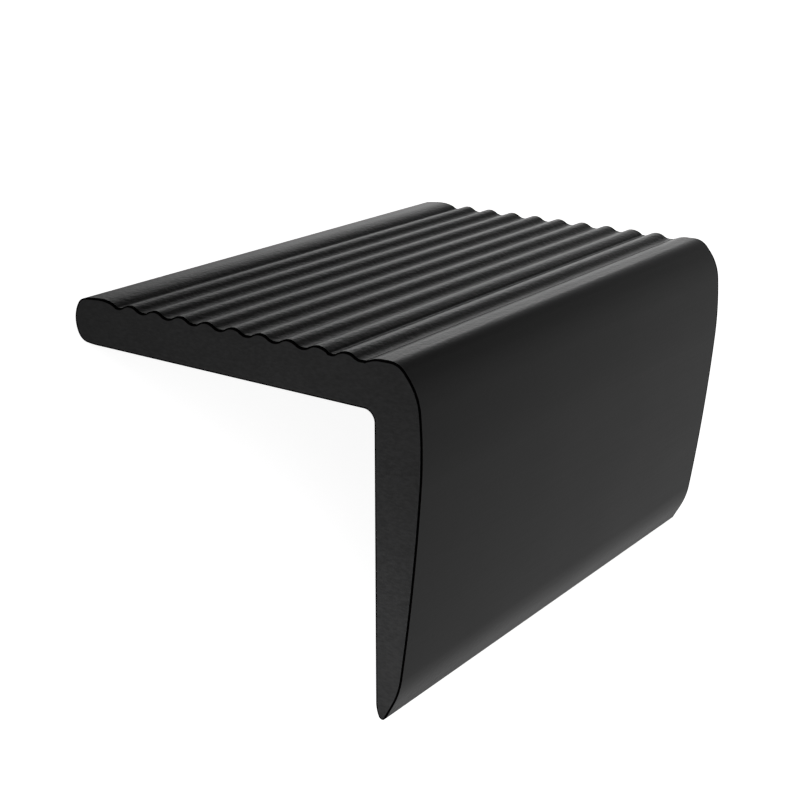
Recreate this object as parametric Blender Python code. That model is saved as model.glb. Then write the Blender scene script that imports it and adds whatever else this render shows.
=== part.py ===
"""Stair nosing: one short straight length of soft black L-section trim.

The section is an angle with unequal, uneven legs. The long leg lies on the tread: its
underside is flat, its rear end is rounded, and its upper face carries rounded ribs that
run along the length. The short leg hangs down over the riser: its back is flat, its
front bulges a little below the nose and then tapers to a small rounded tip.

The section is drawn in its own plane, in millimetres. u points to the front of the
stair and w points up. The corner of the step edge, where the flat underside meets the
flat back, is u = 0, w = 0. The finished piece is tipped back, as it comes to rest when
it is laid loose on a floor: on its rear end and on its tip, with the nose up.

World frame: +X along the length, -Y to the front, +Z up, metres.
"""

import math

import bpy
from mathutils import Matrix

NAME = "stair_nosing"
MM = 0.001

# Driving dimensions, in millimetres and degrees.
LENGTH = 70.4  # the piece as cut, square at both ends
CORNER_RADIUS = 1.35  # inside corner that sits on the edge of the step

# Ribbed upper face: crowns and grooves are arcs that run into each other
RIB_PITCH = 3.9137
RIB_COUNT = 9  # whole ribs between the first and the last groove
FIRST_GROOVE_U = -36.8818  # bottom of the groove next to the rear hump
GROOVE_W = 5.07
CREST_W = 5.644
CROWN_RADIUS = 1.97
BROAD_CROWN_RADIUS = 2.58  # in front of the last rib but one, so the next groove is narrower

# The last rib is a little broader and lies further back. (run, height, crown radius)
LAST_RIB_BACK = (1.872, 0.58, 2.3)
LAST_RIB_FRONT = (1.95, 0.57, 2.05)
LAND_RISE = (2.58, 0.5285, 4.0)  # from the last groove up to the land
LAND_TILT = 1.1  # degrees that the land rises to the front

# Rear end, from the flat underside over the round and the rear hump to the first groove.
# Each arc is (radius, turn), turning clockwise as seen with the nose to the right.
HEEL_ARCS = ((12.7, 7.8), (1.75, 55.8), (3.5, 26.4))
HUMP_ARCS = ((3.67, 36.15), (1.56, 45.75), (30.6, 4.17), (6.57, 15.85), (3.11, 20.1))
GROOVE_RUNOUT_RADIUS = 0.68

# Nose and front face, from the land in front of the last groove down to the tip.
NOSE_LAND_W = 5.631  # at the front end of the land
SHOULDER_ARC = (2.443, 51.4)
SHOULDER_FLAT = 0.647
BROW_ARC = (6.55, 34.4)
BULGE_ARC = (51.4, 9.3)
FACE_ARC = (290.0, 4.45)
CHIN_ARC = (11.1, 19.8)
CHIN_FLAT = 2.14
TIP_ARC = (0.47, 127.45)
TIP_BACK_ARC = (4.0, 24.3)

CHORD_ERROR = 0.003  # how far a chord may leave its arc


def trace(start, heading, moves):
    """The points of a chain of lines (length,) and clockwise arcs (radius, degrees).

    A negative radius turns the other way. Headings are in degrees from +u.
    """
    u, w = start
    heading = math.radians(heading)
    points = [(u, w)]
    for move in moves:
        if len(move) == 1:
            u += move[0] * math.cos(heading)
            w += move[0] * math.sin(heading)
            points.append((u, w))
            continue
        radius, turn = move[0], math.radians(move[1])
        side = -1.0 if radius > 0 else 1.0
        radius = abs(radius)
        centre_u = u - side * radius * math.sin(heading)
        centre_w = w + side * radius * math.cos(heading)
        widest = 2.0 * math.acos(1.0 - CHORD_ERROR / radius)
        steps = max(2, math.ceil(turn / widest))
        for step in range(1, steps + 1):
            angle = heading + side * turn * step / steps
            u = centre_u + side * radius * math.sin(angle)
            w = centre_w - side * radius * math.cos(angle)
            points.append((u, w))
        heading += side * turn
    return points


def moved(points, du, dw=0.0):
    return [(u + du, w + dw) for u, w in points]


def slope(run, height, crown_radius):
    """The groove arc and the crown arc that rise together by height over run."""
    turn = 2.0 * math.atan2(height, run)
    groove_radius = run / math.sin(turn) - crown_radius
    return (-groove_radius, math.degrees(turn)), (crown_radius, math.degrees(turn))


def rear_end():
    """From the flat underside round the rear end to the bottom of the first groove."""
    runout = sum(turn for _, turn in HEEL_ARCS + HUMP_ARCS) - 180.0

    def chain(back_flat):
        moves = list(HEEL_ARCS) + [(back_flat,)] + list(HUMP_ARCS)
        return trace((0.0, 0.0), 180.0, moves + [(-GROOVE_RUNOUT_RADIUS, runout)])

    # The short upright flat at the very back takes up what is left of the thickness.
    back_flat = GROOVE_W - chain(0.0)[-1][1]
    points = chain(back_flat)
    return moved(points, FIRST_GROOVE_U - points[-1][0])


def ribs():
    """Grooves and ribs, then the slope up to the land behind the nose."""
    groove, crown = slope(RIB_PITCH / 2.0, CREST_W - GROOVE_W, CROWN_RADIUS)
    tight, broad = slope(RIB_PITCH / 2.0, CREST_W - GROOVE_W, BROAD_CROWN_RADIUS)
    moves = [groove, crown, crown, groove] * (RIB_COUNT - 2) + [groove, crown, broad, tight]
    moves += slope(*LAST_RIB_BACK) + slope(*LAST_RIB_FRONT)[::-1]
    land_groove, land_crown = slope(*LAND_RISE)
    moves += [land_groove, (land_crown[0], land_crown[1] - LAND_TILT)]
    return trace((FIRST_GROOVE_U, GROOVE_W), 0.0, moves)[1:]


def nose_and_front():
    """From the front end of the land over the nose, down the front and round the tip.

    It ends heading straight up. It is placed so
    that it ends on the flat back of the leg, and the land reaches back from its start
    to the last half rib.
    """
    points = trace(
        (0.0, NOSE_LAND_W),
        LAND_TILT,
        [
            SHOULDER_ARC,
            (SHOULDER_FLAT,),
            BROW_ARC,
            BULGE_ARC,
            FACE_ARC,
            CHIN_ARC,
            (CHIN_FLAT,),
            TIP_ARC,
            TIP_BACK_ARC,
        ],
    )
    return moved(points, -points[-1][0])


def inside_corner():
    return trace((0.0, -CORNER_RADIUS), 90.0, [(-CORNER_RADIUS, 90.0)])


def section():
    """The whole outline, clockwise with the nose to the right."""
    points = rear_end() + ribs() + nose_and_front() + inside_corner()
    outline = []
    for point in points:
        if not outline or math.dist(point, outline[-1]) > 0.02:
            outline.append(point)
    return outline


def resting_edge(outline):
    """The two points that it rests on once it has tipped back from its tip.

    Starting at the lowest point, each next point is the one with all the others on its
    right, until the step spans the open inside of the angle.
    """
    here = min(outline, key=lambda p: p[1])
    while True:
        best = None
        for there in outline:
            if there == here:
                continue
            if best is None:
                best = there
                continue
            turn = (best[0] - here[0]) * (there[1] - here[1]) - (best[1] - here[1]) * (
                there[0] - here[0]
            )
            if turn > 0:
                best = there
        if math.dist(here, best) > CREST_W * 3:
            return here, best
        here = best


def make_material():
    material = bpy.data.materials.new("black_rubber")
    material.use_nodes = True
    shader = material.node_tree.nodes["Principled BSDF"]
    shader.inputs["Base Color"].default_value = (0.017, 0.017, 0.018, 1.0)
    shader.inputs["Metallic"].default_value = 0.0
    shader.inputs["Roughness"].default_value = 0.5
    material.diffuse_color = (0.03, 0.03, 0.032, 1.0)
    return material


def make_nosing(collection):
    outline = section()
    curve = bpy.data.curves.new(NAME, "CURVE")
    curve.dimensions = "2D"
    curve.fill_mode = "BOTH"
    curve.extrude = LENGTH * MM / 2.0
    spline = curve.splines.new("POLY")
    spline.points.add(len(outline) - 1)
    for point, (u, w) in zip(spline.points, outline):
        point.co = (u * MM, w * MM, 0.0, 1.0)
    spline.use_cyclic_u = True
    curve.materials.append(make_material())

    nosing = bpy.data.objects.new(NAME, curve)
    collection.objects.link(nosing)

    # As fitted to a stair, u runs to -Y and w to +Z. Lying loose, it is tipped back.
    tip, heel = resting_edge(outline)
    lie = math.atan2(heel[1] - tip[1], tip[0] - heel[0])
    as_fitted = Matrix(((0.0, 0.0, -1.0), (-1.0, 0.0, 0.0), (0.0, 1.0, 0.0)))
    tipped = Matrix.Rotation(-lie, 3, "X") @ as_fitted
    nosing.rotation_euler = tipped.to_euler()

    # The origin of the part is under the middle of its box, on the floor.
    ys = [-u * math.cos(lie) + w * math.sin(lie) for u, w in outline]
    zs = [u * math.sin(lie) + w * math.cos(lie) for u, w in outline]
    nosing.location = (0.0, -(min(ys) + max(ys)) / 2.0 * MM, -min(zs) * MM)
    return nosing


def main():
    for obj in list(bpy.data.objects):
        bpy.data.objects.remove(obj, do_unlink=True)
    collection = bpy.data.collections.new(NAME)
    bpy.context.scene.collection.children.link(collection)
    make_nosing(collection)


main()
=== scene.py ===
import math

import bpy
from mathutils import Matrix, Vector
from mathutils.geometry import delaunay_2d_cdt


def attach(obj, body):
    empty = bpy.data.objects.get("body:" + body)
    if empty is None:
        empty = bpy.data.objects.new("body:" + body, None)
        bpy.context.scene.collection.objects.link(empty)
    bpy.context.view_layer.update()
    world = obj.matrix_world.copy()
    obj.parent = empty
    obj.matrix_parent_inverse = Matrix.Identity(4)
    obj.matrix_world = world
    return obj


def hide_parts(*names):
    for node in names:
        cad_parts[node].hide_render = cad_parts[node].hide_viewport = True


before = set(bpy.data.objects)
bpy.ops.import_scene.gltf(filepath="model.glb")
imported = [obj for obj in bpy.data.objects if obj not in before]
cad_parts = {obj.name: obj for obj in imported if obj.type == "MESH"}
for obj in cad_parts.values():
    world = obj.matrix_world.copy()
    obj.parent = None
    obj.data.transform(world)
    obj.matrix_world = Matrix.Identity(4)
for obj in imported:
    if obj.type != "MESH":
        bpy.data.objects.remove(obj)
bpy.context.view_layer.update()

# The looks of a short piece of black rubber stair nosing. The imported solid gives its place
# and size. The shown piece is the same section, drawn finer, with its cut ends lightly
# eased, a band of painted shade along the cut edges, and three finishes: extruded skin,
# cut face and the painted shade of the cut edge.
#
# The section is drawn in its own plane, in millimetres: u to the front of the stair, w up,
# the corner of the step edge at (0, 0).

NODE = "stair_nosing"
MM = 0.001

# ---------------------------------------------------------------- section, as in the part
LENGTH = 70.4
CORNER_RADIUS = 1.35

RIB_PITCH = 3.9137
RIB_COUNT = 9
FIRST_GROOVE_U = -36.8818
GROOVE_W = 5.07
CREST_W = 5.644
CROWN_RADIUS = 1.97
BROAD_CROWN_RADIUS = 2.58
LAST_RIB_BACK = (1.872, 0.58, 2.3)
LAST_RIB_FRONT = (1.95, 0.57, 2.05)
LAND_RISE = (2.58, 0.5285, 4.0)
LAND_TILT = 1.1

# Fine lines that the die has drawn along the length: place, depth, half width.
DIE_LINES = ((-5.97, 0.050, 0.12), (-5.56, 0.016, 0.07), (-1.22, 0.065, 0.06))

HEEL_ARCS = ((12.7, 7.8), (1.75, 55.8), (3.5, 26.4))
HUMP_ARCS = ((3.67, 36.15), (1.56, 45.75), (30.6, 4.17), (6.57, 15.85), (3.11, 20.1))
GROOVE_RUNOUT_RADIUS = 0.68

NOSE_LAND_W = 5.631
SHOULDER_ARC = (2.443, 51.4)
SHOULDER_FLAT = 0.647
BROW_ARC = (6.55, 34.4)
BULGE_ARC = (51.4, 9.3)
FACE_ARC = (290.0, 4.45)
CHIN_ARC = (11.1, 19.8)
CHIN_FLAT = 2.14
TIP_ARC = (0.47, 127.45)
TIP_BACK_ARC = (4.0, 24.3)

STEP_TURN = 3.0  # degrees that one chord of an arc may turn
STEP_LENGTH = 0.16  # and how long it may be
FLAT_STEP = 0.5  # chords on the straight runs
LINE_STEP = 0.02  # and across the die lines


def trace(start, heading, moves, longest=STEP_LENGTH):
    """The points of a chain of lines (length,) and clockwise arcs (radius, degrees).

    A negative radius turns the other way. Headings are in degrees from +u.
    """
    u, w = start
    heading = math.radians(heading)
    points = [(u, w)]
    for move in moves:
        if len(move) == 1:
            steps = max(1, math.ceil(move[0] / FLAT_STEP))
            for step in range(steps):
                u += move[0] * math.cos(heading) / steps
                w += move[0] * math.sin(heading) / steps
                points.append((u, w))
            continue
        radius, turn = move[0], math.radians(move[1])
        side = -1.0 if radius > 0 else 1.0
        radius = abs(radius)
        centre_u = u - side * radius * math.sin(heading)
        centre_w = w + side * radius * math.cos(heading)
        steps = max(2, math.ceil(move[1] / STEP_TURN), math.ceil(radius * turn / longest))
        for step in range(1, steps + 1):
            angle = heading + side * turn * step / steps
            u = centre_u + side * radius * math.sin(angle)
            w = centre_w - side * radius * math.cos(angle)
            points.append((u, w))
        heading += side * turn
    return points


def moved(points, du, dw=0.0):
    return [(u + du, w + dw) for u, w in points]


def slope(run, height, crown_radius):
    turn = 2.0 * math.atan2(height, run)
    groove_radius = run / math.sin(turn) - crown_radius
    return (-groove_radius, math.degrees(turn)), (crown_radius, math.degrees(turn))


def rear_end():
    runout = sum(turn for _, turn in HEEL_ARCS + HUMP_ARCS) - 180.0

    def chain(back_flat):
        moves = list(HEEL_ARCS) + [(back_flat,)] + list(HUMP_ARCS)
        return trace((0.0, 0.0), 180.0, moves + [(-GROOVE_RUNOUT_RADIUS, runout)])

    back_flat = GROOVE_W - chain(0.0)[-1][1]
    points = chain(back_flat)
    return moved(points, FIRST_GROOVE_U - points[-1][0])


def scored(points):
    """Sinks the die lines into the points. Away from them it keeps one point in three."""
    lined = []
    for i, (u, w) in enumerate(points):
        if i % 3 and all(abs(u - place) > 3 * half for place, _, half in DIE_LINES):
            continue
        for place, depth, half in DIE_LINES:
            w -= depth * math.exp(-(((u - place) / half) ** 2))
        lined.append((u, w))
    return lined


def ribs():
    groove, crown = slope(RIB_PITCH / 2.0, CREST_W - GROOVE_W, CROWN_RADIUS)
    tight, broad = slope(RIB_PITCH / 2.0, CREST_W - GROOVE_W, BROAD_CROWN_RADIUS)
    moves = [groove, crown, crown, groove] * (RIB_COUNT - 2) + [groove, crown, broad, tight]
    moves += slope(*LAST_RIB_BACK) + slope(*LAST_RIB_FRONT)[::-1]
    land_groove, land_crown = slope(*LAND_RISE)
    moves += [land_groove, (land_crown[0], land_crown[1] - LAND_TILT)]
    return scored(trace((FIRST_GROOVE_U, GROOVE_W), 0.0, moves, LINE_STEP)[1:])


def nose_and_front():
    points = trace(
        (0.0, NOSE_LAND_W),
        LAND_TILT,
        [SHOULDER_ARC, (SHOULDER_FLAT,), BROW_ARC, BULGE_ARC, FACE_ARC, CHIN_ARC, (CHIN_FLAT,), TIP_ARC, TIP_BACK_ARC],
    )
    return moved(points, -points[-1][0])


def inside_corner():
    return trace((0.0, -CORNER_RADIUS), 90.0, [(-CORNER_RADIUS, 90.0)])


def section():
    """The outline without near-repeats, clockwise with the nose to the right."""
    points = rear_end() + ribs() + nose_and_front() + inside_corner()
    outline = []
    for point in points:
        if not outline or math.dist(point, outline[-1]) > 0.012:
            outline.append(point)
    if math.dist(outline[0], outline[-1]) < 0.012:
        outline.pop()
    return divided(outline)


def divided(outline):
    """Splits the long straight chords, so that the faces stay near one size."""
    points = []
    for here, there in zip(outline, outline[1:] + outline[:1]):
        points.append(here)
        steps = math.ceil(math.dist(here, there) / FLAT_STEP)
        for step in range(1, steps):
            share = step / steps
            points.append((here[0] + (there[0] - here[0]) * share, here[1] + (there[1] - here[1]) * share))
    return points


def inset(outline, depths):
    """The outline moved into the material by the depths, along each point's own normal."""
    moved_in = []
    count = len(outline)
    for i, (u, w) in enumerate(outline):
        (pu, pw), (nu, nw) = outline[i - 1], outline[(i + 1) % count]
        du, dw = nu - pu, nw - pw
        size = math.hypot(du, dw)
        moved_in.append((u + dw / size * depths[i], w - du / size * depths[i]))
    return moved_in


# ---------------------------------------------------------------- how the piece lies
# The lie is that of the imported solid, whose chords are a little coarser than these.
LIE = math.radians(39.645863674871414)
SHIFT_Y, SHIFT_Z = 6.413859978076935, -27.175911386274013


def placed(x, point):
    """World point, in metres, of a section point at x millimetres along the length."""
    u, w = point
    return Vector(
        (
            x * MM,
            (-u * math.cos(LIE) + w * math.sin(LIE) - SHIFT_Y) * MM,
            (u * math.sin(LIE) + w * math.cos(LIE) - SHIFT_Z) * MM,
        )
    )


# ---------------------------------------------------------------- node helpers
def add(tree, kind, **values):
    node = tree.nodes.new(kind)
    for name, value in values.items():
        setattr(node, name, value)
    return node


def math_node(tree, operation, first, second=None, third=None, clamp=False):
    node = add(tree, "ShaderNodeMath", operation=operation, use_clamp=clamp)
    for socket, value in zip(node.inputs, (first, second, third)):
        if value is None:
            continue
        if isinstance(value, (int, float)):
            socket.default_value = value
        else:
            tree.links.new(value, socket)
    return node.outputs[0]


def noise(tree, vector, scale, detail=3.0, roughness=0.5, distortion=0.0):
    node = add(tree, "ShaderNodeTexNoise", noise_dimensions="3D")
    node.inputs["Scale"].default_value = scale
    node.inputs["Detail"].default_value = detail
    node.inputs["Roughness"].default_value = roughness
    node.inputs["Distortion"].default_value = distortion
    tree.links.new(vector, node.inputs["Vector"])
    return node.outputs["Fac"]


def stretched(tree, vector, scale):
    node = add(tree, "ShaderNodeMapping", vector_type="POINT")
    node.inputs["Scale"].default_value = scale
    tree.links.new(vector, node.inputs["Vector"])
    return node.outputs["Vector"]


def spread(tree, value, low, high, to_low, to_high):
    node = add(tree, "ShaderNodeMapRange", clamp=True)
    node.inputs["From Min"].default_value = low
    node.inputs["From Max"].default_value = high
    node.inputs["To Min"].default_value = to_low
    node.inputs["To Max"].default_value = to_high
    tree.links.new(value, node.inputs["Value"])
    return node.outputs["Result"]


def two_tone(tree, value, dark, light):
    node = add(tree, "ShaderNodeMix", data_type="RGBA")
    node.inputs[6].default_value = (*dark, 1.0)
    node.inputs[7].default_value = (*light, 1.0)
    tree.links.new(value, node.inputs[0])
    return node.outputs[2]


def in_section(tree, where):
    """Turns places on the piece into (along the length, -u, w) of the section, in metres."""
    node = add(tree, "ShaderNodeMapping", vector_type="POINT")
    node.inputs["Rotation"].default_value = (LIE, 0.0, 0.0)
    node.inputs["Location"].default_value = (
        0.0,
        (SHIFT_Y * math.cos(LIE) - SHIFT_Z * math.sin(LIE)) * MM,
        (SHIFT_Y * math.sin(LIE) + SHIFT_Z * math.cos(LIE)) * MM,
    )
    tree.links.new(where, node.inputs["Vector"])
    return node.outputs["Vector"]


def bump(tree, height, distance, strength=1.0, under=None):
    node = add(tree, "ShaderNodeBump")
    node.inputs["Strength"].default_value = strength
    node.inputs["Distance"].default_value = distance
    tree.links.new(height, node.inputs["Height"])
    if under is not None:
        tree.links.new(under, node.inputs["Normal"])
    return node.outputs["Normal"]


def new_material(name):
    material = bpy.data.materials.new(name)
    material.use_nodes = True
    tree = material.node_tree
    shader = tree.nodes["Principled BSDF"]
    where = add(tree, "ShaderNodeTexCoord").outputs["Object"]
    return material, tree, shader, where


# ---------------------------------------------------------------- finishes
def rubber_skin():
    """Extruded skin: satin black, short dashes along the length, fine even grain.

    The dashes are stronger on top and fainter on the front face.
    """
    material, tree, shader, where = new_material("extruded_rubber_skin")
    place = in_section(tree, where)
    dashes = noise(tree, stretched(tree, place, (1800.0, 2600.0, 2600.0)), 1.0, 2.0, 0.5)
    die_lines = noise(tree, stretched(tree, place, (60.0, 4200.0, 4200.0)), 1.0, 3.0, 0.55)
    grain = noise(tree, where, 6500.0, 3.0, 0.6)
    cloud = noise(tree, where, 110.0, 3.0, 0.5)
    parts = add(tree, "ShaderNodeSeparateXYZ")
    tree.links.new(place, parts.inputs[0])
    on_top = spread(tree, parts.outputs["Y"], -0.0032, -0.0019, 0.1, 1.0)

    tone = math_node(tree, "MULTIPLY_ADD", grain, 0.45, math_node(tree, "MULTIPLY", cloud, 0.55))
    colour = two_tone(tree, spread(tree, tone, 0.35, 0.65, 0.0, 1.0), (0.0014, 0.0014, 0.0014), (0.0026, 0.0026, 0.0027))
    tree.links.new(colour, shader.inputs["Base Color"])

    patchy = math_node(tree, "MULTIPLY_ADD", die_lines, 0.5, math_node(tree, "MULTIPLY", cloud, 0.5))
    tree.links.new(spread(tree, patchy, 0.3, 0.7, SKIN_ROUGHNESS - 0.02, SKIN_ROUGHNESS + 0.02), shader.inputs["Roughness"])

    normal = bump(tree, math_node(tree, "MULTIPLY", dashes, on_top), 0.000066)
    normal = bump(tree, die_lines, 0.0000015, under=normal)
    normal = bump(tree, grain, 0.0000015, under=normal)
    tree.links.new(normal, shader.inputs["Normal"])
    shader.inputs["Metallic"].default_value = 0.0
    shader.inputs["IOR"].default_value = 1.5

    # The die leaves dull and shiny lines: (how far to the rear, half width, loss of shine).
    shine = 0.5
    for rearward, half, loss in (
        (0.0425, 0.0005, 0.15),
        (0.00612, 0.00010, 0.22),
        (0.00588, 0.00008, -0.40),
        (0.00562, 0.00006, 0.20),
        (0.00122, 0.00007, 0.40),
    ):
        off = math_node(tree, "MULTIPLY_ADD", parts.outputs["Y"], 1.0 / half, -rearward / half)
        dull = math_node(tree, "EXPONENT", math_node(tree, "MULTIPLY", math_node(tree, "MULTIPLY", off, off), -1.0))
        shine = math_node(tree, "MULTIPLY_ADD", dull, -loss, shine)
    tree.links.new(shine, shader.inputs["Specular IOR Level"])
    return material


def rubber_cut():
    """Cut face: dry and matt, with the fine drag of the blade across it."""
    material, tree, shader, where = new_material("cut_rubber_face")
    drag = noise(tree, stretched(tree, in_section(tree, where), (1600.0, 1600.0, 4500.0)), 1.0, 2.0, 0.5)
    grain = noise(tree, where, 5200.0, 3.0, 0.65)
    cloud = noise(tree, where, 140.0, 2.0, 0.5)

    tone = math_node(tree, "MULTIPLY_ADD", drag, 0.8, math_node(tree, "MULTIPLY", cloud, 0.2))
    colour = two_tone(tree, spread(tree, tone, 0.35, 0.65, 0.0, 1.0), (0.0094, 0.0094, 0.0096), (0.0146, 0.0146, 0.0149))
    tree.links.new(colour, shader.inputs["Base Color"])
    tree.links.new(spread(tree, cloud, 0.3, 0.7, 0.62, 0.7), shader.inputs["Roughness"])

    normal = bump(tree, drag, 0.000004)
    normal = bump(tree, grain, 0.000004, under=normal)
    tree.links.new(normal, shader.inputs["Normal"])
    shader.inputs["Metallic"].default_value = 0.0
    shader.inputs["IOR"].default_value = 1.5
    shader.inputs["Specular IOR Level"].default_value = 0.27
    return material


def painted_edge_shade():
    """Painted shade along the eased edge between them: near-black, and it holds no shine."""
    material, tree, shader, where = new_material("cut_edge_painted_shade")
    grain = noise(tree, where, 5200.0, 2.0, 0.6)
    # Painted shade: the near-black colour stands in for the dark line of shade along the cut edge.
    colour = two_tone(tree, grain, (0.0002, 0.0002, 0.0002), (0.0005, 0.0005, 0.0005))
    tree.links.new(colour, shader.inputs["Base Color"])
    tree.links.new(spread(tree, grain, 0.3, 0.7, 0.85, 0.95), shader.inputs["Roughness"])
    shader.inputs["Metallic"].default_value = 0.0
    shader.inputs["IOR"].default_value = 1.45
    shader.inputs["Specular IOR Level"].default_value = 0.005
    return material


SKIN_ROUGHNESS = 0.42

# ---------------------------------------------------------------- the piece
# EASE is the eased edge itself; the next value is how far the painted shade of the cut edge reaches along the skin at
# the far end.
EASE = 0.01  # the blade's edge, eased, in millimetres
SHADE_BAND_FAR = 0.25  # and along the skin at the far end
RINGS = 20


def smoothed(values):
    count = len(values)
    return [(values[i - 1] + 2.0 * value + values[(i + 1) % count]) / 4.0 for i, value in enumerate(values)]


def painted_shade_reach_on_face(outline):
    """How far the painted-shade band reaches in on the cut faces, point by point.

    It reaches in less under the tread leg and more round its rear end.
    """
    reach = [0.2 if u < -43.2 else 0.14 if w < 0.3 and u < -2.0 else 0.165 for u, w in outline]
    for _ in range(8):
        reach = smoothed(reach)
    return reach


def painted_shade_reach_on_side(outline):
    """How far the painted-shade band reaches along the skin at the near end, point by point.

    It reaches further where the skin lies flatter, so that the painted shade looks about even
    from in front and above.
    """
    towards = Vector((0.643, -0.705, 0.302))
    reach = []
    for i, (pu, pw) in enumerate(outline[1:] + outline[:1]):
        u, w = outline[i - 1]
        width = 1.25 + (0.5 if u < 0.0 else 0.2) * max(0.0, (pu - u) / math.hypot(pu - u, pw - w))
        along = Vector((pu - u, pw - w)).normalized()
        faces = -along.y * towards.x + along.x * towards.z
        runs = along.x * towards.x + along.y * towards.z
        per_mm = 9.7 * abs(faces) / math.sqrt(1.0 - runs * runs)
        reach.append(min(0.42, max(0.15, width / max(per_mm, 0.1))))
    return smoothed(reach)


def cap_faces(rim_points):
    """Triangles of a cut face: the outline with a triangular grid inside it."""
    grid = 0.9
    points = [Vector(p) for p in rim_points]
    count = len(points)
    low_u, high_u = min(p.x for p in points), max(p.x for p in points)
    low_w, high_w = min(p.y for p in points), max(p.y for p in points)
    row = 0
    w = low_w + grid / 2
    while w < high_w:
        u = low_u + (grid / 2 if row % 2 else grid)
        while u < high_u:
            clear = min((p.x - u) ** 2 + (p.y - w) ** 2 for p in points[:count])
            if clear > (0.4 * grid) ** 2:
                points.append(Vector((u, w)))
            u += grid
        w += grid * math.sqrt(3) / 2
        row += 1
    edges = [(i, (i + 1) % count) for i in range(count)]
    made, _, faces, origin, _, _ = delaunay_2d_cdt(points, edges, [], 1, 1e-7)
    return [tuple(p) for p in made], faces, [o[0] if o else -1 for o in origin]


def make_nosing():
    outline = section()
    count = len(outline)
    half = LENGTH / 2
    # Painted shade: the cut faces carry a near-black band from the outline inward to the rim computed here.
    painted_band_rim = inset(outline, [EASE + reach for reach in painted_shade_reach_on_face(outline)])
    eased = inset(outline, [EASE] * count)

    vertices, faces, slots = [], [], []

    def ring(x, loop):
        start = len(vertices)
        xs = x if isinstance(x, list) else [x] * len(loop)
        vertices.extend(placed(at, point) for at, point in zip(xs, loop))
        return start

    def band(first, second, slot):
        for i in range(count):
            j = (i + 1) % count
            faces.append((first + i, first + j, second + j, second + i))
            slots.append(slot)

    def cap(x, rim_start, towards_plus_x):
        made, triangles, source = cap_faces(painted_band_rim)
        used = {i for triangle in triangles for i in triangle}
        index = {}
        for i in sorted(used):
            if 0 <= source[i] < count:
                index[i] = rim_start + source[i]
            else:
                index[i] = len(vertices)
                vertices.append(placed(x, made[i]))
        for triangle in triangles:
            corners = [index[i] for i in triangle]
            faces.append(tuple(corners if towards_plus_x else reversed(corners)))
            slots.append(1)

    # Painted shade: the rings with slot 2 carry the near-black band along the skin at both cut edges.
    near = [-half + EASE + reach for reach in painted_shade_reach_on_side(outline)]
    far = half - EASE - SHADE_BAND_FAR
    stations = [(-half, painted_band_rim, None), (-half, eased, 2), (-half + EASE, outline, 2), (near, outline, 2)]
    for step in range(1, RINGS + 1):
        stations.append(([x + (far - x) * step / RINGS for x in near], outline, 0))
    stations += [(half - EASE, outline, 2), (half, eased, 2), (half, painted_band_rim, 2)]
    near_rim = last = None
    for x, loop, slot in stations:
        following = ring(x, loop)
        if slot is None:
            near_rim = following
        else:
            band(last, following, slot)
        last = following
    cap(-half, near_rim, False)
    cap(half, last, True)

    mesh = bpy.data.meshes.new("rubber_nosing")
    mesh.from_pydata(vertices, [], faces)
    for finish in (rubber_skin(), rubber_cut(), painted_edge_shade()):
        mesh.materials.append(finish)
    mesh.polygons.foreach_set("material_index", slots)
    mesh.update()

    # The outline turns through its arcs in small steps, so only the cut edges stay sharp.
    mesh.shade_smooth()
    mesh.set_sharp_from_angle(angle=math.radians(25))
    mesh.validate()
    nosing = bpy.data.objects.new("rubber_nosing", mesh)
    bpy.context.scene.collection.objects.link(nosing)
    return nosing


nosing = make_nosing()
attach(nosing, "root")
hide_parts(NODE)


# ---------------------------------------------------------------- floor
def make_floor():
    half = 3.0
    mesh = bpy.data.meshes.new("floor")
    mesh.from_pydata([(-half, -half, 0), (half, -half, 0), (half, half, 0), (-half, half, 0)], [], [(0, 1, 2, 3)])
    material = bpy.data.materials.new("pale_floor")
    material.use_nodes = True
    shader = material.node_tree.nodes["Principled BSDF"]
    shader.inputs["Base Color"].default_value = (0.8, 0.8, 0.8, 1.0)
    shader.inputs["Roughness"].default_value = 1.0
    shader.inputs["Specular IOR Level"].default_value = 0.0
    shader.inputs["Emission Color"].default_value = (1.0, 1.0, 1.0, 1.0)
    shader.inputs["Emission Strength"].default_value = 0.9
    mesh.materials.append(material)
    floor = bpy.data.objects.new("floor", mesh)
    floor.location.z = -0.00003
    floor.visible_glossy = False
    bpy.context.scene.collection.objects.link(floor)
    return floor


make_floor()


# ---------------------------------------------------------------- light
# Each softbox is a soft round patch of light far away: direction, spread in degrees, strength.
SOFTBOXES = [
    ((0.814, 0.541, -0.211), 8.8, 2.410),
    ((0.835, -0.297, -0.463), 20.6, 0.724),
    ((0.979, 0.154, -0.132), 8.6, 5.270),
    ((0.903, -0.289, 0.317), 16.6, 0.435),
    ((0.137, -0.801, -0.583), 27.4, 0.121),
    ((-0.439, -0.239, -0.866), 22.0, 0.450),
    ((-0.640, -0.530, 0.550), 20.0, 0.900),  # shows the front face from the other side
]
AMBIENT = 0.0500


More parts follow.
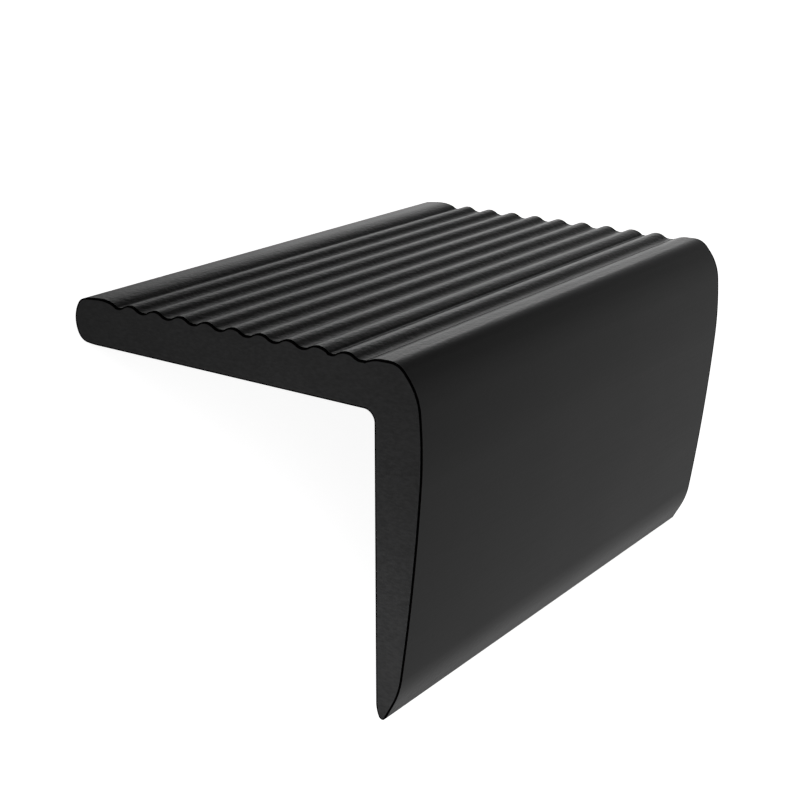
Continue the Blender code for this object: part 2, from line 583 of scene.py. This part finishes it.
def make_world():
    world = bpy.data.worlds.new("studio")
    bpy.context.scene.world = world
    world.use_nodes = True
    tree = world.node_tree
    tree.nodes.clear()
    where = add(tree, "ShaderNodeTexCoord").outputs["Generated"]
    total = None
    for direction, spread_deg, strength in SOFTBOXES:
        towards = add(tree, "ShaderNodeVectorMath", operation="DOT_PRODUCT")
        tree.links.new(where, towards.inputs[0])
        towards.inputs[1].default_value = Vector(direction).normalized()
        fall = math_node(tree, "MULTIPLY_ADD", towards.outputs["Value"], 1.0, -1.0)
        sharp = 1.0 / math.radians(spread_deg) ** 2
        glow = math_node(tree, "EXPONENT", math_node(tree, "MULTIPLY", fall, sharp))
        part = math_node(tree, "MULTIPLY", glow, strength)
        part.node.label = "softbox"
        total = part if total is None else math_node(tree, "ADD", total, part)
    total = math_node(tree, "ADD", total, AMBIENT)

    mirrored = add(tree, "ShaderNodeBackground")
    mirrored.label = "mirrored"
    tree.links.new(total, mirrored.inputs["Strength"])
    even = add(tree, "ShaderNodeBackground")
    even.label = "even"
    even.inputs["Strength"].default_value = 0.45
    backdrop = add(tree, "ShaderNodeBackground")
    backdrop.label = "backdrop"
    backdrop.inputs["Strength"].default_value = 1.0
    path = add(tree, "ShaderNodeLightPath")
    by_gloss = add(tree, "ShaderNodeMixShader")
    tree.links.new(path.outputs["Is Glossy Ray"], by_gloss.inputs[0])
    tree.links.new(even.outputs[0], by_gloss.inputs[1])
    tree.links.new(mirrored.outputs[0], by_gloss.inputs[2])
    by_camera = add(tree, "ShaderNodeMixShader")
    tree.links.new(path.outputs["Is Camera Ray"], by_camera.inputs[0])
    tree.links.new(by_gloss.outputs[0], by_camera.inputs[1])
    tree.links.new(backdrop.outputs[0], by_camera.inputs[2])
    out = add(tree, "ShaderNodeOutputWorld")
    tree.links.new(by_camera.outputs[0], out.inputs["Surface"])


make_world()


def make_low_strip():
    """A low strip light beside the near cut end, which it fills most towards the tip."""
    data = bpy.data.lights.new("low_strip", "AREA")
    data.shape = "RECTANGLE"
    data.size = 0.0926
    data.size_y = 0.002
    data.energy = 0.0240
    strip = bpy.data.objects.new("low_strip", data)
    strip.matrix_world = Matrix(
        ((0.0, 0.0, -1.0, -0.0591), (-1.0, 0.0, 0.0, -0.0472), (0.0, 1.0, 0.0, 0.003), (0.0, 0.0, 0.0, 1.0))
    )
    strip.visible_camera = False
    strip.visible_glossy = False
    bpy.context.scene.collection.objects.link(strip)


make_low_strip()

# ---------------------------------------------------------------- camera
# Solved from the straight edges of the piece as they run in the photograph.
camera_data = bpy.data.cameras.new("camera")
camera_data.sensor_fit = "HORIZONTAL"
camera_data.sensor_width = 36.0
camera_data.lens = 69.98548
camera_data.clip_start = 0.005
camera_data.clip_end = 20.0
camera_data.dof.use_dof = False
camera = bpy.data.objects.new("camera", camera_data)
bpy.context.scene.collection.objects.link(camera)
camera.matrix_world = Matrix(
    (
        (0.58472574, 0.25786628, -0.76915590, -0.15666464),
        (-0.62476478, 0.74793068, -0.22420675, -0.04316519),
        (0.51745993, 0.61164097, 0.59844009, 0.12516367),
        (0.0, 0.0, 0.0, 1.0),
    )
)
bpy.context.scene.camera = camera

bpy.context.scene.view_settings.view_transform = "Standard"
bpy.context.scene.view_settings.look = "None"
